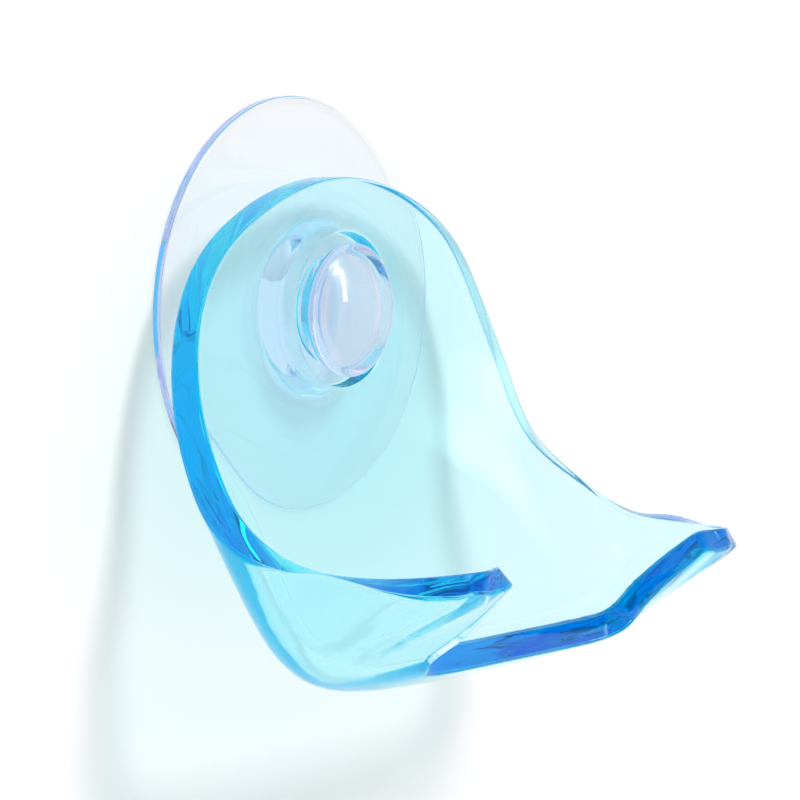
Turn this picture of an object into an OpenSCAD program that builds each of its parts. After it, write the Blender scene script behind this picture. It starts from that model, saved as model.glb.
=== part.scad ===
// Razor holder for a tiled wall: a clear blue moulded scoop that hangs on a clear suction cup.
// The wall is the plane y = 0, the front of the holder faces -Y, and +Z is up.
// The origin is the centre of the suction face, on the axis of the cup and its knob.

/* [Suction cup] */
// Diameter of the cup where it meets the wall
cup_d = 45; // [40:0.5:50]
// Thickness of the cup at its outer edge
cup_edge_t = 0.9; // [0.6:0.1:1.5]
// Height of the air pocket that is left under the pressed cup
pocket_h = 1.0; // [0.4:0.1:1.4]
// Radius of the air pocket
pocket_r = 13; // [8:0.5:16]
// Radius of the boss at its foot, on the cup
boss_foot_r = 9.9; // [9:0.1:12]
// Radius of the boss where the holder rests on it
boss_top_r = 8.6; // [7:0.1:9]
// Height of the boss's foot from the wall
boss_foot_h = 1.9; // [1.6:0.1:2.4]
// Diameter of the knob that keeps the holder on
knob_d = 14.2; // [13:0.1:15.5]
// Distance of the top of the knob's dome from the wall
knob_front = 10.4; // [10:0.1:12]
// Height of the dome on the knob's front
knob_dome = 0.9; // [0.3:0.1:1.4]
// Thickness of the knob at its rim
knob_rim_t = 1.1; // [0.8:0.1:1.4]

/* [Back plate] */
// Distance of the plate's front face from the wall
plate_front = 7.85; // [7.5:0.05:8.5]
// Thickness of the plate and of the scoop's walls
wall_t = 3.4; // [2.8:0.1:3.8]
// Height of the arch's crown above the knob
arch_top = 14; // [12:0.5:18]
// Diameter of the hole that the cup's neck goes through
hole_d = 11.2; // [10:0.1:12]
// Gap all round the neck in its hole
neck_gap = 0.06; // [0.02:0.01:0.1]
// Diameter of the recess round the knob
recess_d = 16.3; // [15.8:0.1:18]
// Depth of the recess round the knob
recess_depth = 1.45; // [0.8:0.05:1.8]

/* [Scoop] */
// Distance from the middle to the rim handle where the side walls are widest
scoop_half_w = 30.7; // [28:0.1:33]
// Thickness at the notch's bottom edge
lip_t = 3; // [2.4:0.1:3.4]
// Thickness at the horn tips
tip_t = 2.5; // [2:0.1:3.4]
// How far the scoop's rim slopes outward, as a share of the wall's thickness
rim_slope = 0.33; // [0:0.01:0.4]
// Distance of the horn tips from the wall
horn_reach = 42.2; // [40:0.2:46]
// Height of the horn tips below the knob
horn_drop = 22.7; // [21:0.2:24]
// Distance from the middle to the outer corner of a horn tip
horn_out = 22.7; // [21:0.1:25]
// Distance from the middle to the inner corner of a horn tip
horn_in = 18.5; // [17:0.1:20]
// How far the inner corner lies behind the outer corner
horn_slant = 1.7; // [0:0.1:3]
// Distance of the notch's bottom edge from the wall
lip_reach = 29.8; // [27:0.1:31]
// Height of the notch's bottom edge below the knob
lip_drop = 32.3; // [30:0.1:34]
// Height of the floor's lowest handle below the knob
floor_drop = 35.3; // [34:0.1:37]

/* [Hidden] */
round_fn = 96;
// Number of stations from the crown to the horn tips, across a tip, and across half the width
rim_steps = 44;
tip_steps = 5;
half_steps = 18;
// Share of the stations' run that ends at the outer corner of the horn tip
tip_at = 0.93;
// The first station is a short flat at the crown, so no face has zero width
crown_at = 0.012;
plate_back = plate_front - wall_t;
// The holder clears the boss by this much, so it turns on the neck
rest_gap = 0.05;
boss_top_h = plate_back - rest_gap;
hole_r = hole_d / 2;
neck_r = hole_r - neck_gap;
knob_r = knob_d / 2;
knob_edge_h = knob_front - knob_dome;
knob_rim_h = knob_edge_h - knob_rim_t;
recess_floor = plate_front - recess_depth;
// Cuts run past the faces that they open
over = 1;

// Net of handles for the inner face on the +X side, each [from the middle, from the wall, height].
// A row goes from the middle line, by the floor and the side wall, to the rim. The rows go from
// the crown of the arch, down the flat plate and round the scoop, to the edge of the notch.
function plate_row(half_w, height) =
    [for (share = [0, 1 / 3, 2 / 3, 1]) [share * half_w, plate_front, height]];
handle_net = [
    plate_row(0, arch_top),
    plate_row(6.5, arch_top),
    plate_row(19.5, arch_top - 4.6),
    plate_row(25.2, 1.1),
    [[0, plate_front, -8], [10.5, plate_front, -8], [22, 8.4, -7.4], [28, 10.1, -7.8]],
    [[0, 8.7, -19], [14, 8.7, -19], [24.5, 10.6, -16.6], [27.9, 13.2, -15.7]],
    [[0, 14.8, -28.8], [19.7, 14.8, -28.8], [30.1, 17.5, -25.3], [scoop_half_w, 19, -20.1]],
    [[0, 19, -floor_drop], [27, 19, -floor_drop], [33, 22.4, -30.9], [28.6, 25.7, -24.4]],
    [[0, 22.5, -35.1], [31.5, 22.5, -35.1], [27.3, 24.5, -32.6], [29.9, 36.6, -horn_drop - 0.6]],
    [[0, lip_reach, -lip_drop], [29.6, lip_reach, -lip_drop], [10.9, lip_reach - 1.1, -33],
        [horn_out, horn_reach, -horn_drop]]
];
tip_outer = [horn_out, horn_reach, -horn_drop];
tip_inner = [horn_in, horn_reach - horn_slant, -horn_drop];
// Within this distance of a tip's outer corner, the wall's thickness turns to run this way
tip_turn = 5;
tip_way = [-0.61, 0.1, 0.79];
// The rim slopes outward most at this station, and not at all this far from it
slope_at = 0.76;
slope_over = 0.2;

function clamp(v, low, high) = max(low, min(high, v));
function unit(v) = v / norm(v);

// Cubic B-spline through its end handles
function knot(i, n) = clamp((i - 3) / (n - 3), 0, 1);
function ratio(top, bottom) = bottom == 0 ? 0 : top / bottom;
function weight(i, k, t, n) = k == 0
    ? (knot(i, n) <= t && t < knot(i + 1, n) ? 1 : 0)
    : ratio(t - knot(i, n), knot(i + k, n) - knot(i, n)) * weight(i, k - 1, t, n)
        + ratio(knot(i + k + 1, n) - t, knot(i + k + 1, n) - knot(i + 1, n)) * weight(i + 1, k - 1, t, n);
function sum_of(terms, i = 0) = i == len(terms) - 1 ? terms[i] : terms[i] + sum_of(terms, i + 1);
function spline(handles, t) = t > 1 - 1e-9
    ? handles[len(handles) - 1]
    : sum_of([for (i = [0 : len(handles) - 1]) weight(i, 3, t, len(handles)) * handles[i]]);

// Station value 0 is the crown of the arch and 1 is the notch's edge
stations = concat(
    [for (i = [0 : rim_steps]) crown_at + (tip_at - crown_at) * i / rim_steps],
    [for (i = [1 : tip_steps]) tip_at + (1 - tip_at) * i / tip_steps]
);
function column(k) = [for (row = handle_net) row[k]];
function rim_at(v) = v <= tip_at
    ? spline(column(3), v / tip_at)
    : tip_outer + (tip_inner - tip_outer) * (v - tip_at) / (1 - tip_at);

// One row of points of the inner face, from the middle line to the rim: a cubic Bezier curve
function half_row(v) =
    let (
        middle = spline(column(0), v),
        floor = spline(column(1), v),
        wall = spline(column(2), v),
        rim = rim_at(v)
    )
    [for (j = [0 : half_steps]) let (s = j / half_steps, r = 1 - s)
        pow(r, 3) * middle + 3 * s * r * r * floor + 3 * s * s * r * wall + pow(s, 3) * rim];
function flip(p) = [-p[0], p[1], p[2]];
inner = [for (v = stations) let (half = half_row(v))
    concat([for (j = [half_steps : -1 : 1]) flip(half[j])], half)];
rows = len(stations);
cols = 2 * half_steps + 1;

// Outer face: the inner face moved back by the wall's thickness, which thins towards the tips
function thickness_at(v, share) =
    wall_t + (lip_t - wall_t + (tip_t - lip_t) * share * share) * pow(clamp((v - 0.5) / 0.5, 0, 1), 2);
function normal_at(i, j) = unit(cross(
    inner[i][min(j + 1, cols - 1)] - inner[i][max(j - 1, 0)],
    inner[min(i + 1, rows - 1)][j] - inner[max(i - 1, 0)][j]
));
function way_at(i, j) =
    let (
        p = inner[i][j],
        side = p[0] < 0 ? -1 : 1,
        lean = pow(abs(j - half_steps) / half_steps, 4)
            * clamp(1 - abs(stations[i] - slope_at) / slope_over, 0, 1),
        away = unit(normal_at(i, j) + rim_slope * lean * [0, 0, 1]),
        near_tip = clamp(1 - norm([side * p[0], p[1], p[2]] - tip_outer) / tip_turn, 0, 1)
    )
    unit((1 - near_tip) * away + near_tip * [side * tip_way[0], tip_way[1], tip_way[2]]);
outer = [for (i = [0 : rows - 1]) [for (j = [0 : cols - 1])
    inner[i][j] - thickness_at(stations[i], abs(j - half_steps) / half_steps) * way_at(i, j)]];

// Faces of the closed wall between the two grids
function cell(a, b, c, d) = [[a, b, c], [a, c, d]];
function face_list() =
    let (
        front = function (i, j) i * cols + j,
        back = function (i, j) rows * cols + i * cols + j,
        last = rows - 1,
        side = cols - 1
    )
    [
        for (i = [0 : last - 1], j = [0 : side - 1])
            each cell(front(i, j), front(i, j + 1), front(i + 1, j + 1), front(i + 1, j)),
        for (i = [0 : last - 1], j = [0 : side - 1])
            each cell(back(i, j), back(i + 1, j), back(i + 1, j + 1), back(i, j + 1)),
        for (j = [0 : side - 1])
            each cell(back(0, j), back(0, j + 1), front(0, j + 1), front(0, j)),
        for (j = [0 : side - 1])
            each cell(front(last, j), front(last, j + 1), back(last, j + 1), back(last, j)),
        for (i = [0 : last - 1])
            each cell(front(i, side), back(i, side), back(i + 1, side), front(i + 1, side)),
        for (i = [0 : last - 1])
            each cell(back(i, 0), front(i, 0), front(i + 1, 0), back(i + 1, 0))
    ];
// The functions measure distance from the wall as a positive number, which is -Y here
function placed(grid) = [for (row = grid) for (p = row) [p[0], -p[1], p[2]]];

module scoop() {
    polyhedron(points = concat(placed(inner), placed(outer)), faces = face_list(), convexity = 6);
}

// Turns a shape drawn upwards from z = 0 so that it stands out of the wall
module from_wall(distance) {
    translate([0, -distance, 0]) rotate([90, 0, 0]) children();
}

// Scoop with its arched back plate, the hole for the neck and the recess round the knob
module holder() {
    color([0.45, 0.8, 0.95, 0.5])
    difference() {
        scoop();
        from_wall(plate_back - over) cylinder(r = hole_r, h = wall_t + 2 * over, $fn = round_fn);
        from_wall(recess_floor) cylinder(d = recess_d, h = recess_depth + over, $fn = round_fn);
    }
}

// Soft cup, boss, neck and knob in one moulding: half a section, turned about the axis
module cup_section() {
    cup_r = cup_d / 2;
    slope_r = 0.62 * cup_r;
    knob_edge = 0.7;
    polygon(concat(
        [for (k = [0 : 8]) [pocket_r * k / 8, pocket_h * (0.5 + 0.5 * cos(180 * k / 8))]],
        [
            [cup_r, 0],
            [cup_r, cup_edge_t * 0.75],
            [cup_r - 0.25, cup_edge_t],
            [slope_r, 0.5 * (cup_edge_t + boss_foot_h) - 0.1],
            [boss_foot_r, boss_foot_h],
            [boss_top_r, boss_top_h],
            [neck_r, boss_top_h],
            [neck_r, recess_floor + rest_gap],
            [neck_r + 0.5, recess_floor + rest_gap + 0.15],
            [knob_r, knob_rim_h]
        ],
        [for (a = [0 : 15 : 90])
            [knob_r - knob_edge + knob_edge * cos(a), knob_edge_h - knob_edge + knob_edge * sin(a)]],
        [for (k = [5 : -1 : 0]) [(knob_r - knob_edge) * k / 6, knob_edge_h + knob_dome * (1 - k * k / 36)]]
    ));
}

module suction_cup() {
    color([0.85, 0.87, 0.95, 0.5])
    from_wall(0) rotate_extrude($fn = round_fn) cup_section();
}

suction_cup();
holder();
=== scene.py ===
import bmesh
import bpy
import numpy as np
from mathutils import Matrix, Vector


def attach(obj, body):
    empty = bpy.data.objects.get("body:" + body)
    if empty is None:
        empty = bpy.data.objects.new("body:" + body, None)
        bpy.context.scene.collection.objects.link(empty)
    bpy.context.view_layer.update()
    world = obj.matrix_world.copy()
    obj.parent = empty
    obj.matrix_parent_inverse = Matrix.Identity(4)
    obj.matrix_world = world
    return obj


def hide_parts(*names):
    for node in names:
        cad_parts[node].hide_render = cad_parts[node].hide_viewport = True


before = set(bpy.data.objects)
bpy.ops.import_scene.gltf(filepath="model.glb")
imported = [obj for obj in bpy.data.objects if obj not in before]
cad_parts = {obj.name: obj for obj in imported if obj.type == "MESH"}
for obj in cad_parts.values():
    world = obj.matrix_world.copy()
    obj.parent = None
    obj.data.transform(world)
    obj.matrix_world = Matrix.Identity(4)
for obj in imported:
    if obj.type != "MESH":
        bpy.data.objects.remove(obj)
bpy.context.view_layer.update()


# Holder: one clear moulding in blue-tinted hard plastic, an arched back plate that sweeps forward
# into a scoop with two horns. It is drawn in millimetres from a net of handles and has soft edges.

# Each row has four handles from the middle line out to the rim, as side, distance out of the wall
# and height. The rows run from the crown down to the notch.
NET = np.array(
    [
        [[0, 7.85, 14], [0, 7.85, 14], [0, 7.85, 14], [0, 7.85, 14]],
        [[0, 7.85, 14], [2.167, 7.85, 14], [4.333, 7.85, 14], [6.5, 7.85, 14]],
        [[0, 7.85, 9.4], [6.5, 7.85, 9.4], [13, 7.85, 9.4], [19.5, 7.85, 9.4]],
        [[0, 7.85, 1.1], [8.4, 7.85, 1.1], [16.8, 7.85, 1.1], [25.2, 7.85, 1.1]],
        [[0, 7.85, -8], [10.5, 7.85, -8], [22, 8.4, -7.4], [28, 10.1, -7.8]],
        [[0, 8.7, -19], [14, 8.7, -19], [24.5, 10.6, -16.6], [27.9, 13.2, -15.7]],
        [[0, 14.8, -28.8], [19.7, 14.8, -28.8], [30.1, 17.5, -25.3], [30.7, 19, -20.1]],
        [[0, 19, -35.3], [27, 19, -35.3], [33, 22.4, -30.9], [28.6, 25.7, -24.4]],
        [[0, 22.5, -35.1], [31.5, 22.5, -35.1], [27.3, 24.5, -32.6], [29.9, 36.6, -23.3]],
        [[0, 29.8, -32.3], [29.6, 29.8, -32.3], [10.9, 28.7, -33], [22.7, 42.2, -22.7]],
    ]
)
# A horn's tip is cut straight from its outer to its inner corner, across the wall along TIP_WAY.
# The cut starts at TIP_AT down the rim, its corner is softened over TIP_SOFT, and the wall starts
# to turn towards it TIP_REACH millimetres away.
TIP_OUTER = np.array([22.7, 42.2, -22.7])
TIP_INNER = np.array([18.5, 40.5, -22.7])
TIP_WAY = np.array([-0.61, 0.1, 0.79])
TIP_AT = 0.93
TIP_SOFT = 0.025
TIP_REACH = 5


def unit(vectors):
    """Vectors divided by their lengths."""
    return vectors / np.linalg.norm(vectors, axis=-1, keepdims=True)


def spline(handles, at):
    """Cubic B-spline through its end handles, at values from 0 to 1."""
    count = len(handles)
    knots = np.clip((np.arange(count + 4) - 3) / (count - 3), 0, 1)
    at = np.clip(at, 0, 1 - 1e-9)
    weights = [((low <= at) & (at < high)) * 1.0 for low, high in zip(knots, knots[1:])]
    for k in (1, 2, 3):
        weights = [
            (at - knots[i]) / max(knots[i + k] - knots[i], 1e-12) * weights[i]
            + (knots[i + k + 1] - at) / max(knots[i + k + 1] - knots[i + 1], 1e-12) * weights[i + 1]
            for i in range(count + 3 - k)
        ]
    return sum(w[..., None] * handle for w, handle in zip(weights, handles))


def rim_point(down):
    """Spline down to the tip's outer corner, then a straight run to its inner corner. The corner
    is softened by the mean of nearby points."""
    reach = np.clip(TIP_SOFT - 0.5 * np.abs(down - TIP_AT), 0, 1)
    points = []
    for share in np.linspace(-1, 1, 7):
        near = down + share * reach
        run = np.clip((near - TIP_AT) / (1 - TIP_AT), 0, 1)[..., None]
        along = spline(NET[:, 3], near / TIP_AT)
        points.append(np.where(run > 0, TIP_OUTER + (TIP_INNER - TIP_OUTER) * run, along))
    return sum(points) / len(points)


def inner_face(across, down):
    """Cubic Bezier from the middle line to the rim, whose four handles run down splines.
    across is -1 to 1 between the rims, and down is 0 at the crown to 1 at the notch."""
    share = np.abs(across)[..., None]
    rest = 1 - share
    middle, floor, wall = (spline(NET[:, k], down) for k in range(3))
    rim = rim_point(down)
    point = rest**3 * middle + 3 * share * rest**2 * floor
    point = point + 3 * share**2 * rest * wall + share**3 * rim
    point[..., 0] *= np.sign(across)
    return point


# How far the scoop's rim slopes outward, where down the rim it slopes most, and how far each way
RIM_SLOPE = 0.33
SLOPE_AT = 0.76
SLOPE_OVER = 0.2


def wall_way(across, down, to_tip=1):
    """Unit vector out of the inner face. It leans up along the scoop's rim, so that the rim slopes
    outward, and turns near a tip to run along the tip's own cut."""
    step, near_middle, near_crown = 1e-4, 0.002, 0.004
    share = np.clip(np.abs(across), near_middle, 1 - step)
    down = np.clip(down, near_crown, 1 - step)
    way = unit(
        np.cross(
            inner_face(share + step, down) - inner_face(share - step, down),
            inner_face(share, down + step) - inner_face(share, down - step),
        )
    )
    lean = (share**4 * np.clip(1 - np.abs(down - SLOPE_AT) / SLOPE_OVER, 0, 1))[..., None]
    way = unit(way + RIM_SLOPE * lean * [0, 0, 1])
    far = np.linalg.norm(inner_face(share, down) - TIP_OUTER, axis=-1, keepdims=True)
    near = to_tip * np.clip(1 - far / TIP_REACH, 0, 1)
    way = unit((1 - near) * way + near * TIP_WAY)
    way[..., 0] *= np.sign(across) * np.clip(np.abs(across) / near_middle, 0, 1)
    return unit(way)


# The wall's thickness, and how much thinner it is at the notch and, on top of that, at the tips
WALL = 3.35
NOTCH_THINNER = 0.35
TIP_THINNER = 0.5


def outer_face(across, down):
    """Inner face moved back by the wall's thickness, which thins towards the notch and tips."""
    share = np.abs(across)
    thin = (-NOTCH_THINNER - TIP_THINNER * share**2) * np.clip(2 * down - 1, 0, 1) ** 2
    return inner_face(across, down) - (WALL + thin)[..., None] * wall_way(across, down)


def settle(face, targets, across, down, axes):
    """Moves across and down by Newton steps until the face meets the targets on these axes."""
    h = 1e-5
    most_across, most_down = 0.2, 0.05
    for _ in range(7):
        here = face(across, down)[..., axes]
        slope = np.stack(
            [
                (face(across + h, down)[..., axes] - here) / h,
                (face(across, down + h)[..., axes] - here) / h,
            ],
            -1,
        )
        gap = (targets[..., axes] - here)[..., None]
        square = np.swapaxes(slope, -1, -2) @ slope + 1e-9 * np.eye(2)
        move = np.linalg.solve(square, np.swapaxes(slope, -1, -2) @ gap)[..., 0]
        across = np.clip(across + np.clip(move[..., 0], -most_across, most_across), -1.0, 1.0)
        down = np.clip(down + np.clip(move[..., 1], -most_down, most_down), 0.002, 1)
    return across, down


# The rim is divided more closely round the tip, between TIP_FROM and TIP_TO. The corner between
# the rim and the notch runs from RIM_END down the rim to NOTCH_END across the notch.
TIP_FROM = 0.905
TIP_TO = 0.955
RIM_END = 0.986
NOTCH_END = 0.983
NOTCH_STEPS = 34


def outline():
    """Edge of the inner face: from the crown down the rim and round the tip, then along the
    notch to the middle line. The corner between the two is a small quadratic curve."""
    stretches = [
        np.linspace(0, TIP_FROM, 82),
        np.linspace(TIP_FROM, TIP_TO, 14)[1:],
        np.linspace(TIP_TO, RIM_END, 5)[1:],
    ]
    rim = np.concatenate(stretches)
    turn = np.linspace(0, 1, 7)[1:-1, None]
    bend = (1 - turn) ** 2 * [1, RIM_END] + 2 * turn * (1 - turn) * [1, 1]
    bend = bend + turn**2 * [NOTCH_END, 1]
    notch = np.linspace(NOTCH_END, 0, NOTCH_STEPS + 1)
    path = np.concatenate(
        [np.stack([rim * 0 + 1, rim], 1), bend, np.stack([notch, notch * 0 + 1], 1)]
    )
    return path[:, 0], path[:, 1], len(rim) + 2


def arc(start, corner, end, steps):
    """Points of a rounded corner, a conic that touches both of its sides, without its ends."""
    t = np.linspace(0, 1, steps + 2)[1:-1]
    points = []
    for a, b, c in zip((1 - t) ** 2, np.sqrt(2) * t * (1 - t), t**2):
        points.append((a * start + b * corner + c * end) / (a + b + c))
    return points


# How far the rounding of the rim's corners reaches along each of their sides
SOFT = 0.35

# The grids stop short of the edge by that much, so first comes the inset line where they end.
# inward is the way from the edge into the face.
edge_across, edge_down, corner = outline()
edge = inner_face(edge_across, edge_down)
ahead = np.concatenate([edge[1:], edge[-2:-1] * [-1, 1, 1]])
behind = np.concatenate([edge[1:2] * [-1, 1, 1], edge[:-1]])
inward = unit(np.cross(wall_way(edge_across, edge_down, 0), ahead - behind))
inside = inner_face(0.8 * edge_across, np.clip(edge_down, 0.06, 0.9)) - edge
inward *= np.sign((inward * inside).sum(1, keepdims=True))
tries = [t.ravel() for t in np.meshgrid(np.linspace(0, 1, 61), np.linspace(0.004, 1, 241))]
spread = inner_face(*tries)
targets = edge + SOFT * inward
nearest = np.array([((spread - target) ** 2).sum(1).argmin() for target in targets])
set_across, set_down = settle(
    inner_face, targets, tries[0][nearest], tries[1][nearest], [0, 1, 2]
)

# A grid of across and down values between the middle line, the inset line and the notch
side = slice(0, corner + 1)
foot = slice(len(edge) - 1, corner - 1, -1)
run = (edge_down[side] / edge_down[corner])[:, None]
share = set_across[foot][None, :] / set_across[corner]
middle_down = set_down[0] + (set_down[-1] - set_down[0]) * run
foot_bow = set_down[foot] - (1 - share) * set_down[-1] - share * set_down[corner]
half_across = share * set_across[side][:, None]
half_down = (1 - share) * middle_down + share * set_down[side][:, None] + run**2 * foot_bow
grid_across = np.concatenate([-half_across[:, :0:-1], half_across], 1)
grid_down = np.concatenate([half_down[:, :0:-1], half_down], 1)
rows, cols = grid_across.shape


def border(top, low, left, right):
    """Indices of a block's border in the grid, once round it."""
    return (
        [(top, j) for j in range(left, right)]
        + [(i, right) for i in range(top, low)]
        + [(low, j) for j in range(right, left, -1)]
        + [(i, left) for i in range(low, top, -1)]
    )


# The hole and its recess take a square block out of the grids, about 11 mm each way from the axis
BLOCK_HALF = 11
middle = cols // 2
heights = inner_face(grid_across[:, middle], grid_down[:, middle])[:, 2]
top = int(np.argmin(np.abs(heights - BLOCK_HALF)))
low = int(np.argmin(np.abs(heights + BLOCK_HALF)))
level = int(np.argmin(np.abs(heights)))
wide = inner_face(grid_across[level], grid_down[level])[:, 0]
right = int(np.argmin(np.abs(wide - BLOCK_HALF)))
left = cols - 1 - right
block = np.array(border(top, low, left, right))

vertices, faces, rim_share = [], [], []


def add(points, rim=0.0):
    """Adds points to the holder's mesh, and gives their numbers. rim is 1 on its edge."""
    first = len(vertices)
    vertices.extend(np.asarray(points).reshape(-1, 3))
    rim_share.extend([rim] * (len(vertices) - first))
    return np.arange(first, len(vertices))


def band(a, b):
    """Faces between two closed lines of points."""
    faces.extend(np.stack([a, np.roll(a, -1), np.roll(b, -1), b], 1).tolist())


def face_grid(surface):
    """Grid over one face of the wall, open where the hole's rings go. Gives its two borders."""
    numbers = add(surface(grid_across, grid_down)).reshape(rows, cols)
    numbers[0] = numbers[0, 0]
    i, j = np.mgrid[: rows - 1, : cols - 1]
    kept = (i < top) | (i >= low) | (j < left) | (j >= right)
    i, j = i[kept], j[kept]
    quads = [numbers[i, j], numbers[i, j + 1], numbers[i + 1, j + 1], numbers[i + 1, j]]
    faces.extend(np.stack(quads, 1).tolist())
    outside = np.array(border(0, rows - 1, 0, cols - 1)[cols - 1 :])
    return numbers[outside[:, 0], outside[:, 1]], numbers[block[:, 0], block[:, 1]]


def rings(surface, numbers, radius, angle=None):
    """Rings from the block's border in to a circle about the cup's axis, on the same face.
    Gives the last ring's angles, points and numbers."""
    here = np.array([vertices[n] for n in numbers])
    if angle is None:
        angle = np.arctan2(here[:, 2], here[:, 0])
    circle = np.stack([radius * np.cos(angle), here[:, 1], radius * np.sin(angle)], 1)
    across, down = grid_across[block[:, 0], block[:, 1]], grid_down[block[:, 0], block[:, 1]]
    for k in range(1, 6):
        across, down = settle(surface, here + (circle - here) * k / 5, across, down, [0, 2])
        points = surface(across, down)
        following = add(points)
        band(numbers, following)
        numbers = following
    return angle, points, numbers


def on_circle(angle, radius, distance):
    """Points at these angles on a circle about the cup's axis, at a distance out of the wall."""
    return np.stack([radius * np.cos(angle), distance + 0 * angle, radius * np.sin(angle)], 1)


inner_edge, inner_block = face_grid(inner_face)
outer_edge, outer_block = face_grid(outer_face)

# Soft edge all round: an arc from each face on to the flat of the rim
mirror = np.array([-1, 1, 1])
outer = outer_face(edge_across, edge_down)
thick = np.linalg.norm(outer - edge, axis=1, keepdims=True)
near_flat = edge + (outer - edge) * SOFT / thick
far_flat = outer - (outer - edge) * SOFT / thick


def whole(points):
    """Points of the right half's edge, carried on round the left half to the crown."""
    return np.concatenate([points, (points * mirror)[-2:0:-1]])


inner_line = np.array([vertices[n] for n in inner_edge])
outer_line = np.array([vertices[n] for n in outer_edge])
line = inner_edge
near_arc = arc(inner_line, whole(edge), whole(near_flat), 4)
far_arc = arc(whole(far_flat), whole(outer), outer_line, 4)
edge_lines = [(p, 0) for p in near_arc] + [(whole(near_flat), 1)]
edge_lines += [(whole(far_flat), 1)] + [(p, 0) for p in far_arc]
for points, rim in edge_lines:
    following = add(points, rim)
    band(line, following)
    line = following
band(line, outer_edge)

# Recess round the knob, and the hole that the cup's neck goes through. Their corners are rounded.
HOLE_R = 5.6
RECESS_R = 8.15
RECESS_FLOOR = 6.4
RECESS_LIP = 0.4
HOLE_LIP = 0.3
angle, ring, line = rings(inner_face, inner_block, RECESS_R + RECESS_LIP)
_, back_ring, back_line = rings(outer_face, outer_block, HOLE_R + HOLE_LIP, angle)
lip = on_circle(angle, RECESS_R, 1) * [1, 0, 1] + ring * [0, 1, 0]
back_lip = on_circle(angle, HOLE_R, 1) * [1, 0, 1] + back_ring * [0, 1, 0]
recess_side = on_circle(angle, RECESS_R, RECESS_FLOOR + HOLE_LIP)
recess_corner = on_circle(angle, RECESS_R, RECESS_FLOOR)
floor_outer = on_circle(angle, RECESS_R - HOLE_LIP, RECESS_FLOOR)
floor_inner = on_circle(angle, HOLE_R + HOLE_LIP, RECESS_FLOOR)
hole_corner = on_circle(angle, HOLE_R, RECESS_FLOOR)
hole_front = on_circle(angle, HOLE_R, RECESS_FLOOR - HOLE_LIP)
hole_back = back_lip + [0, HOLE_LIP, 0]
bore_lines = arc(ring, lip, lip - [0, RECESS_LIP, 0], 3) + [lip - [0, RECESS_LIP, 0]]
bore_lines += [recess_side] + arc(recess_side, recess_corner, floor_outer, 2)
bore_lines += [floor_outer, floor_inner] + arc(floor_inner, hole_corner, hole_front, 2)
bore_lines += [hole_front, hole_back] + arc(hole_back, back_lip, back_ring, 2)
for points in bore_lines:
    following = add(points)
    band(line, following)
    line = following
band(line, back_line)

# Near its edge the moulding bends light aside, which leaves a darker band on the wall. dark_share
# falls from 1 to 0 over DARK_FALL millimetres and ends DARK_REACH millimetres from the edge.
DARK_REACH = 4
DARK_FALL = 2.5
edge_points = whole(near_flat)
all_points = np.array(vertices)
squares = (all_points**2).sum(1)[:, None] + (edge_points**2).sum(1)
squares = squares - 2 * all_points @ edge_points.T
nearness = DARK_REACH / DARK_FALL - np.sqrt(np.maximum(squares, 0)).min(1) / DARK_FALL
dark_share = np.clip(nearness, 0, 1)


def piece(name, points, faces, rim, dark, body):
    """Smooth mesh object in metres, from points in millimetres out of the wall, which rides on a
    CAD body in place of that body's node. A face that names a point twice is a triangle, and rim
    and dark are kept as attributes of the points."""
    mesh = bpy.data.meshes.new(name)
    placed = np.asarray(points) * [0.001, -0.001, 0.001]
    mesh.from_pydata(placed.tolist(), [], [list(dict.fromkeys(face)) for face in faces])
    for share, values in (("rim", rim), ("dark", dark)):
        attribute = mesh.attributes.new(share, "FLOAT", "POINT")
        attribute.data.foreach_set("value", np.array(values, np.float32))
    build = bmesh.new()
    build.from_mesh(mesh)
    bmesh.ops.delete(build, geom=[v for v in build.verts if not v.link_faces], context="VERTS")
    bmesh.ops.recalc_face_normals(build, faces=build.faces)
    build.to_mesh(mesh)
    build.free()
    mesh.shade_smooth()
    made = bpy.data.objects.new(name, mesh)
    bpy.context.scene.collection.objects.link(made)
    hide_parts(body)
    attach(made, body)
    return made


holder = piece(
    "holder_moulding", vertices, faces, rim_share, dark_share, "holder"
)


# The painted edge glow turns into the front lip's painted shade between these distances out of the
# wall, in metres
FRONT_FROM = 0.025
FRONT_TO = 0.031


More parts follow.
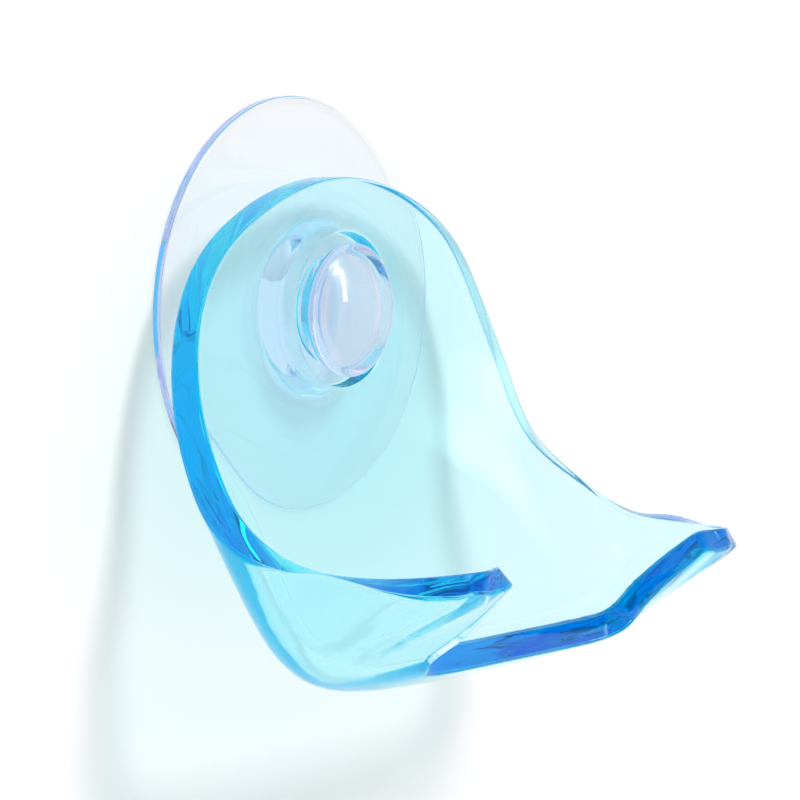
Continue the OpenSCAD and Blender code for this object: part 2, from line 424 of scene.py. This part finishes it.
def moulded_surface():
    """Node group for a moulded clear surface: its edges get a painted glow, a colour that stands
    in for light carried along them, deepened into painted shade at the front lip, and the faces
    carry faint waves and a little uneven gloss."""
    group = bpy.data.node_groups.new("moulded_surface", "ShaderNodeTree")
    for name, way, kind in (
        ("Edge", "INPUT", "Float"), ("Edge Tint", "INPUT", "Color"),
        ("Painted Front Shade", "INPUT", "Color"), ("Gloss", "INPUT", "Float"),
        ("Waves", "INPUT", "Float"), ("Color", "OUTPUT", "Color"),
        ("Roughness", "OUTPUT", "Float"), ("Height", "OUTPUT", "Float"),
    ):
        group.interface.new_socket(name, in_out=way, socket_type="NodeSocket" + kind)
    nodes, links = group.nodes, group.links
    given, result = nodes.new("NodeGroupInput"), nodes.new("NodeGroupOutput")
    place = nodes.new("ShaderNodeSeparateXYZ")
    ahead = nodes.new("ShaderNodeMapRange")
    ahead.inputs["From Min"].default_value = -FRONT_FROM
    ahead.inputs["From Max"].default_value = -FRONT_TO
    # Painted edge glow: a colour mixed in on the edges that stands in for light carried along them,
    # turning into painted shade towards the front lip
    painted_edge_glow, tint = nodes.new("ShaderNodeMix"), nodes.new("ShaderNodeMix")
    painted_edge_glow.data_type = tint.data_type = "RGBA"
    tint.inputs["A"].default_value = (1, 1, 1, 1)
    where = nodes.new("ShaderNodeTexCoord")
    waves = nodes.new("ShaderNodeTexNoise")
    waves.inputs["Scale"].default_value = 110
    waves.inputs["Detail"].default_value = 1.5
    uneven = nodes.new("ShaderNodeTexNoise")
    uneven.inputs["Scale"].default_value = 420
    uneven.inputs["Detail"].default_value = 4
    rough = nodes.new("ShaderNodeMath")
    rough.operation = "MULTIPLY"
    uneven_edge = nodes.new("ShaderNodeMath")
    uneven_edge.operation = "MULTIPLY_ADD"
    # An edge's waves are higher than a face's by this
    uneven_edge.inputs[1].default_value = 0.2
    height = nodes.new("ShaderNodeMath")
    height.operation = "MULTIPLY"
    links.new(given.outputs["Edge"], tint.inputs["Factor"])
    links.new(where.outputs["Object"], place.inputs[0])
    links.new(place.outputs["Y"], ahead.inputs["Value"])
    links.new(ahead.outputs["Result"], painted_edge_glow.inputs["Factor"])
    links.new(given.outputs["Edge Tint"], painted_edge_glow.inputs["A"])
    links.new(given.outputs["Painted Front Shade"], painted_edge_glow.inputs["B"])
    links.new(painted_edge_glow.outputs["Result"], tint.inputs["B"])
    links.new(where.outputs["Object"], waves.inputs["Vector"])
    links.new(where.outputs["Object"], uneven.inputs["Vector"])
    links.new(uneven.outputs["Fac"], rough.inputs[0])
    links.new(given.outputs["Gloss"], rough.inputs[1])
    links.new(waves.outputs["Fac"], height.inputs[0])
    links.new(given.outputs["Edge"], uneven_edge.inputs[0])
    links.new(given.outputs["Waves"], uneven_edge.inputs[2])
    links.new(uneven_edge.outputs[0], height.inputs[1])
    links.new(tint.outputs["Result"], result.inputs["Color"])
    links.new(rough.outputs[0], result.inputs["Roughness"])
    links.new(height.outputs[0], result.inputs["Height"])
    return group


SURFACE = moulded_surface()

# Light that has bounced more often than this passes straight out of the plastic. A lamp's rays
# are darkened where they meet it at a slant, from the first to the second of these slants.
BOUNCES_INSIDE = 7.5
GRAZING_FROM = 0.33
GRAZING_TO = 0.62


def clear_plastic(
    name, tint, density, gloss, waves, painted_edge_glow, painted_front_shade, shine_tint, lamp_tint, edge_shade
):
    """Clear plastic that is coloured by its depth. Lamps shine through it on to the wall, less
    so through its edges, and light that has bounced in it many times leaves it. The edges get a
    painted glow, a colour that stands in for light carried along them, which counts in full from
    outside and by half from inside."""
    material = bpy.data.materials.new(name)
    material.use_nodes = True
    nodes, links = material.node_tree.nodes, material.node_tree.links
    shader = nodes["Principled BSDF"]
    surface = nodes.new("ShaderNodeGroup")
    surface.node_tree = SURFACE
    # Painted edge glow and the front lip's painted shade: colours that stand in for light carried
    # along the edges
    surface.inputs["Edge Tint"].default_value = (*painted_edge_glow, 1)
    surface.inputs["Painted Front Shade"].default_value = (*painted_front_shade, 1)
    surface.inputs["Gloss"].default_value = gloss
    surface.inputs["Waves"].default_value = waves
    bump = nodes.new("ShaderNodeBump")
    bump.inputs["Distance"].default_value = 0.001
    links.new(surface.outputs["Color"], shader.inputs["Base Color"])
    links.new(surface.outputs["Roughness"], shader.inputs["Roughness"])
    links.new(surface.outputs["Height"], bump.inputs["Height"])
    links.new(bump.outputs["Normal"], shader.inputs["Normal"])
    shader.inputs["IOR"].default_value = 1.5
    shader.inputs["Specular Tint"].default_value = (*shine_tint, 1)
    shader.inputs["Transmission Weight"].default_value = 1
    inside = nodes.new("ShaderNodeVolumeAbsorption")
    inside.inputs["Color"].default_value = (*tint, 1)
    inside.inputs["Density"].default_value = density
    light = nodes.new("ShaderNodeLightPath")
    deep = nodes.new("ShaderNodeMath")
    deep.operation = "GREATER_THAN"
    deep.inputs[1].default_value = BOUNCES_INSIDE
    either = nodes.new("ShaderNodeMath")
    either.operation = "MAXIMUM"
    passing = nodes.new("ShaderNodeMath")
    passing.operation = "MAXIMUM"
    rim, dark = nodes.new("ShaderNodeAttribute"), nodes.new("ShaderNodeAttribute")
    rim.attribute_name, dark.attribute_name = "rim", "dark"
    side = nodes.new("ShaderNodeNewGeometry")
    outer_edge = nodes.new("ShaderNodeMath")
    outer_edge.operation = "MULTIPLY_ADD"
    outer_edge.inputs[1].default_value = -0.5
    outer_edge.use_clamp = True
    grazed = nodes.new("ShaderNodeLayerWeight")
    grazed.inputs["Blend"].default_value = 0.5
    grazing = nodes.new("ShaderNodeMapRange")
    grazing.inputs["From Min"].default_value = GRAZING_FROM
    grazing.inputs["From Max"].default_value = GRAZING_TO
    darker = nodes.new("ShaderNodeMath")
    darker.operation = "MAXIMUM"
    from_lamp = nodes.new("ShaderNodeMath")
    from_lamp.operation = "MULTIPLY"
    shade = nodes.new("ShaderNodeMix")
    shade.data_type = "RGBA"
    shade.inputs["A"].default_value = (*lamp_tint, 1)
    shade.inputs["B"].default_value = (edge_shade, edge_shade, edge_shade, 1)
    through = nodes.new("ShaderNodeBsdfTransparent")
    mix = nodes.new("ShaderNodeMixShader")
    out = nodes["Material Output"]
    links.new(light.outputs["Ray Depth"], deep.inputs[0])
    links.new(light.outputs["Is Shadow Ray"], passing.inputs[0])
    links.new(light.outputs["Is Diffuse Ray"], passing.inputs[1])
    links.new(passing.outputs[0], either.inputs[0])
    links.new(deep.outputs[0], either.inputs[1])
    links.new(grazed.outputs["Facing"], grazing.inputs["Value"])
    links.new(side.outputs["Backfacing"], outer_edge.inputs[0])
    links.new(rim.outputs["Fac"], outer_edge.inputs[2])
    links.new(outer_edge.outputs[0], surface.inputs["Edge"])
    links.new(dark.outputs["Fac"], darker.inputs[0])
    links.new(grazing.outputs["Result"], darker.inputs[1])
    links.new(darker.outputs[0], from_lamp.inputs[0])
    links.new(light.outputs["Is Shadow Ray"], from_lamp.inputs[1])
    links.new(from_lamp.outputs[0], shade.inputs["Factor"])
    links.new(shade.outputs["Result"], through.inputs["Color"])
    links.new(either.outputs[0], mix.inputs[0])
    links.new(shader.outputs[0], mix.inputs[1])
    links.new(through.outputs[0], mix.inputs[2])
    links.new(mix.outputs[0], out.inputs["Surface"])
    links.new(inside.outputs[0], out.inputs["Volume"])
    return material


# The holder's edges get a painted cyan glow and its front lip a painted deeper blue shade, colours
# that stand in for light carried along them
holder.data.materials.append(
    clear_plastic(
        "tinted_plastic", tint=(0, 0.87, 0.985), density=98, gloss=0.03, waves=0.05,
        painted_edge_glow=(0.05, 0.82, 1), painted_front_shade=(0.005, 0.42, 0.85), shine_tint=(0.4, 0.85, 1),
        lamp_tint=(1, 0.965, 0.95), edge_shade=0.45,
    )
)

# Suction cup: one soft clear moulding turned about the cup's axis, with a thin disc that is
# pressed flat on the wall, a tapered boss, a neck through the holder's hole and a domed knob.

# Corners of its profile in millimetres: radius, distance out of the wall, and softness
CUP_PROFILE = [
    [0, 1.0, 0], [3, 0.95, 3], [8, 0.5, 3], [13, 0, 1.5], [22.5, 0, 0.15], [22.5, 0.675, 0.3],
    [22.25, 0.9, 0.2], [13.95, 1.3, 3], [9.9, 1.9, 1.6], [8.6, 4.4, 0.6], [5.54, 4.4, 0.2],
    [5.54, 6.45, 0.2], [6.04, 6.6, 0.2], [7.1, 8.4, 0.4], [7.1, 9.42, 0.7],
]
# The knob's front is a low dome, a parabola in the distance from the axis
DOME_FOOT = 9.5
DOME_RISE = 0.9
DOME_R = 6.4
for r in np.linspace(5.6, 0, 9):
    CUP_PROFILE.append([r, DOME_FOOT + DOME_RISE * (1 - (r / DOME_R) ** 2), 0.3])


# An arc takes no more than this share of either side of its corner
MOST_SOFT = 0.45


def rounded(profile, steps):
    """Corners of a profile of [radius, distance, softness] turned into arcs."""
    points = [np.array(profile[0][:2], float)]
    for k in range(1, len(profile) - 1):
        before, here, after = (np.array(profile[k + step][:2], float) for step in (-1, 0, 1))
        soft = profile[k][2]
        start = here + (before - here) * min(soft / np.linalg.norm(before - here), MOST_SOFT)
        end = here + (after - here) * min(soft / np.linalg.norm(after - here), MOST_SOFT)
        points += [start] + arc(start, here, end, steps) + [end]
    return np.array(points + [np.array(profile[-1][:2], float)])


def lathe(profile, sides):
    """Profile of [radius, distance] turned about the axis: a point is the radius times the cosine
    and the sine of its angle. The ends are closed with a point each. Gives points and faces."""
    k = np.arange(sides)
    j = (k + 1) % sides
    turn = 2 * np.pi * k / sides
    radius, distance = profile[1:-1, :1], profile[1:-1, 1:]
    around = [radius * np.cos(turn), distance + 0 * turn, radius * np.sin(turn)]
    around = np.stack(around, -1).reshape(-1, 3)
    points = np.concatenate([[[0, profile[0, 1], 0]], around, [[0, profile[-1, 1], 0]]])
    last = len(points) - 1
    back_end = np.stack([0 * k, 1 + k, 1 + j], 1)
    front_end = np.stack([last + 0 * k, last - sides + j, last - sides + k], 1)
    ends = np.stack([back_end, front_end], 1).reshape(-1, 3)
    low = 1 + sides * np.arange(len(profile) - 3)[:, None]
    high = low + sides
    walls = np.stack([low + k, low + j, high + j, high + k], -1).reshape(-1, 4)
    return points, ends.tolist() + walls.tolist()


# The disc's rim counts as edge and gets a faint painted edge glow. It and the boss and knob darken
# the light that goes through them.
RIM_FROM = 22.2
BOSS_R = 10
BOSS_FROM = 1.4
cup_points, cup_faces = lathe(rounded(CUP_PROFILE, 4), 128)
radii = np.hypot(cup_points[:, 0], cup_points[:, 2])
cup_rim = radii > RIM_FROM
cup_dark = cup_rim | ((radii < BOSS_R) & (cup_points[:, 1] > BOSS_FROM))
cup = piece(
    "suction_cup_moulding", cup_points, cup_faces, cup_rim, cup_dark, "suction_cup",
)
# The disc's rim gets a faint painted lavender glow, a colour that stands in for light carried along
# it; its front lip colour is plain white
cup.data.materials.append(
    clear_plastic(
        "soft_pvc", tint=(0.25, 0.33, 0.95), density=17, gloss=0.08, waves=0.05,
        painted_edge_glow=(1, 0.98, 1), painted_front_shade=(1, 1, 1), shine_tint=(1, 1, 1),
        lamp_tint=(1, 1, 1), edge_shade=0.85,
    )
)


# Wall and floor: white and matt. They are clear from behind, so views from the back and from
# below see the object.
def plane(name, centre, right, up, size):
    """Square along these two directions about its centre. It faces right cross up."""
    mesh = bpy.data.meshes.new(name)
    centre, right, up = Vector(centre), Vector(right) * size / 2, Vector(up) * size / 2
    corners = [centre - right - up, centre + right - up, centre + right + up, centre - right + up]
    mesh.from_pydata([tuple(c) for c in corners], [], [(0, 1, 2, 3)])
    made = bpy.data.objects.new(name, mesh)
    bpy.context.scene.collection.objects.link(made)
    return made


def backdrop(name, colour):
    """Matt paint on the front side, nothing on the back."""
    material = bpy.data.materials.new(name)
    material.use_nodes = True
    nodes, links = material.node_tree.nodes, material.node_tree.links
    shader = nodes["Principled BSDF"]
    shader.inputs["Base Color"].default_value = (*colour, 1)
    shader.inputs["Roughness"].default_value = 0.9
    shader.inputs["Specular IOR Level"].default_value = 0.1
    behind = nodes.new("ShaderNodeNewGeometry")
    through = nodes.new("ShaderNodeBsdfTransparent")
    mix = nodes.new("ShaderNodeMixShader")
    links.new(behind.outputs["Backfacing"], mix.inputs[0])
    links.new(shader.outputs[0], mix.inputs[1])
    links.new(through.outputs[0], mix.inputs[2])
    links.new(mix.outputs[0], nodes["Material Output"].inputs["Surface"])
    return material


wall = plane("wall", (0, 0.0002, 0), (1, 0, 0), (0, 0, 1), 3)
wall.data.materials.append(backdrop("wall_paint", (0.9, 0.9, 0.9)))
floor = plane("floor", (0, 0, -0.3), (1, 0, 0), (0, 1, 0), 3)
floor.data.materials.append(backdrop("floor_paint", (0.9, 0.9, 0.9)))

# Room: a plain white world. The camera and the clear plastic see it white, the surfaces get half
# of that as light, and reflections see it brighter towards the right than towards the left.
LIGHT_LEVEL = 0.5
DIM_REFLECTION = 0.45
BRIGHT_SIDE = (0.95, -0.3, 0.1)
world = bpy.data.worlds.new("room")
bpy.context.scene.world = world
world.use_nodes = True
nodes, links = world.node_tree.nodes, world.node_tree.links
seen = nodes.new("ShaderNodeLightPath")
where = nodes.new("ShaderNodeTexCoord")
toward = nodes.new("ShaderNodeVectorMath")
toward.operation = "DOT_PRODUCT"
toward.inputs[1].default_value = BRIGHT_SIDE
reflected = nodes.new("ShaderNodeMapRange")
reflected.interpolation_type = "SMOOTHSTEP"
reflected.inputs["From Min"].default_value = 0.55
reflected.inputs["From Max"].default_value = 0.9
reflected.inputs["To Min"].default_value = DIM_REFLECTION
glossy = nodes.new("ShaderNodeMix")
glossy.inputs["A"].default_value = LIGHT_LEVEL
clear = nodes.new("ShaderNodeMath")
clear.operation = "MAXIMUM"
level = nodes.new("ShaderNodeMix")
level.inputs["B"].default_value = 1
links.new(where.outputs["Generated"], toward.inputs[0])
links.new(toward.outputs["Value"], reflected.inputs["Value"])
# A soft slanted window, off to the right in front, shows in the glossy surfaces. Its place is a
# direction, and its size is in parts of the distance.
window_place, window_slant = Vector((0.4, -0.8, 0.4)).normalized(), Vector((-0.72, 0, 0.69))
window_size = (0.5, 0.12, 1)
window_strength = 5
beside = window_place.cross(window_slant).normalized()
turned = Matrix((beside.cross(window_place), beside, window_place)).transposed()
placed = nodes.new("ShaderNodeMapping")
placed.vector_type = "TEXTURE"
placed.inputs["Location"].default_value = window_place
placed.inputs["Rotation"].default_value = turned.to_euler()
placed.inputs["Scale"].default_value = window_size
spot = nodes.new("ShaderNodeTexGradient")
spot.gradient_type = "SPHERICAL"
window = nodes.new("ShaderNodeMapRange")
window.interpolation_type = "SMOOTHSTEP"
window.inputs["From Max"].default_value = 0.6
window.inputs["To Max"].default_value = window_strength
both = nodes.new("ShaderNodeMath")
links.new(where.outputs["Generated"], placed.inputs["Vector"])
links.new(placed.outputs["Vector"], spot.inputs["Vector"])
links.new(spot.outputs["Fac"], window.inputs["Value"])
links.new(window.outputs["Result"], both.inputs[0])
links.new(reflected.outputs["Result"], both.inputs[1])
links.new(both.outputs[0], glossy.inputs["B"])
links.new(seen.outputs["Is Glossy Ray"], glossy.inputs["Factor"])
links.new(glossy.outputs["Result"], level.inputs["A"])
links.new(seen.outputs["Is Camera Ray"], clear.inputs[0])
links.new(seen.outputs["Is Transmission Ray"], clear.inputs[1])
links.new(clear.outputs[0], level.inputs["Factor"])
links.new(level.outputs["Result"], nodes["Background"].inputs["Strength"])
nodes["Background"].inputs["Color"].default_value = (1, 1, 1, 1)


# Lamps: a large soft key from high in front, which isn't seen in the plastic, and a narrow strip
# that is seen along the front of the knob and lights nothing else.
def lamp(name, place, target, size, power):
    """Rectangular lamp that faces a point."""
    data = bpy.data.lights.new(name, "AREA")
    data.shape = "RECTANGLE"
    data.size, data.size_y = size
    data.energy = power
    made = bpy.data.objects.new(name, data)
    bpy.context.scene.collection.objects.link(made)
    way = Vector(place) - Vector(target)
    made.matrix_world = Matrix.Translation(place) @ way.to_track_quat("Z", "Y").to_matrix().to_4x4()
    return made


key = lamp("key", place=(-0.04, -1.7, 1.25), target=(0, 0, -0.02), size=(0.5, 0.5), power=26.5)
key.visible_glossy = False
key.visible_transmission = False
strip = lamp("strip", place=(0.615, -0.775, 0.1), target=(0, 0, 0), size=(0.05, 0.2), power=0.3)
strip.visible_diffuse = False
strip.visible_transmission = False
strip.light_linking.receiver_collection = bpy.data.collections.new("strip_falls_on")
strip.light_linking.receiver_collection.objects.link(cup)

# Camera: a long lens from the left, a little above the cup, fitted to the photo. Its distance is in
# millimetres, and its focal length and the cup's place in the frame are in pixels.
turn, lift, roll = np.radians([-54.358, 5.093, 0.304])
reach, focal = 449.5, 4207.6
frame_pixels = 800
cup_right, cup_down = 284.90 - frame_pixels / 2, 306.47 - frame_pixels / 2
sensor = 36
right_way = np.array([np.cos(turn), np.sin(turn), 0])
up_way = np.array([-np.sin(turn) * np.sin(lift), np.cos(turn) * np.sin(lift), np.cos(lift)])
back_way = np.array([np.sin(turn) * np.cos(lift), -np.cos(turn) * np.cos(lift), np.sin(lift)])
across_way = np.cos(roll) * right_way + np.sin(roll) * up_way
upright_way = -np.sin(roll) * right_way + np.cos(roll) * up_way
place = reach * back_way
place = place - cup_right / focal * reach * across_way
place = place + cup_down / focal * reach * upright_way
camera_data = bpy.data.cameras.new("camera")
camera_data.sensor_width = sensor
camera_data.sensor_height = sensor
camera_data.lens = sensor * focal / frame_pixels
camera_data.clip_start = 0.01
camera = bpy.data.objects.new("camera", camera_data)
bpy.context.scene.collection.objects.link(camera)
pose = np.eye(4)
pose[:3, 0], pose[:3, 1], pose[:3, 2] = across_way, upright_way, back_way
pose[:3, 3] = place / 1000
camera.matrix_world = Matrix(pose.tolist())

scene = bpy.context.scene
scene.camera = camera
scene.view_settings.view_transform = "Standard"
# Light bounces many times inside clear plastic before it leaves by an edge
most_bounces = 16
scene.cycles.max_bounces = most_bounces
scene.cycles.glossy_bounces = most_bounces
scene.cycles.transmission_bounces = most_bounces
scene.cycles.transparent_max_bounces = most_bounces
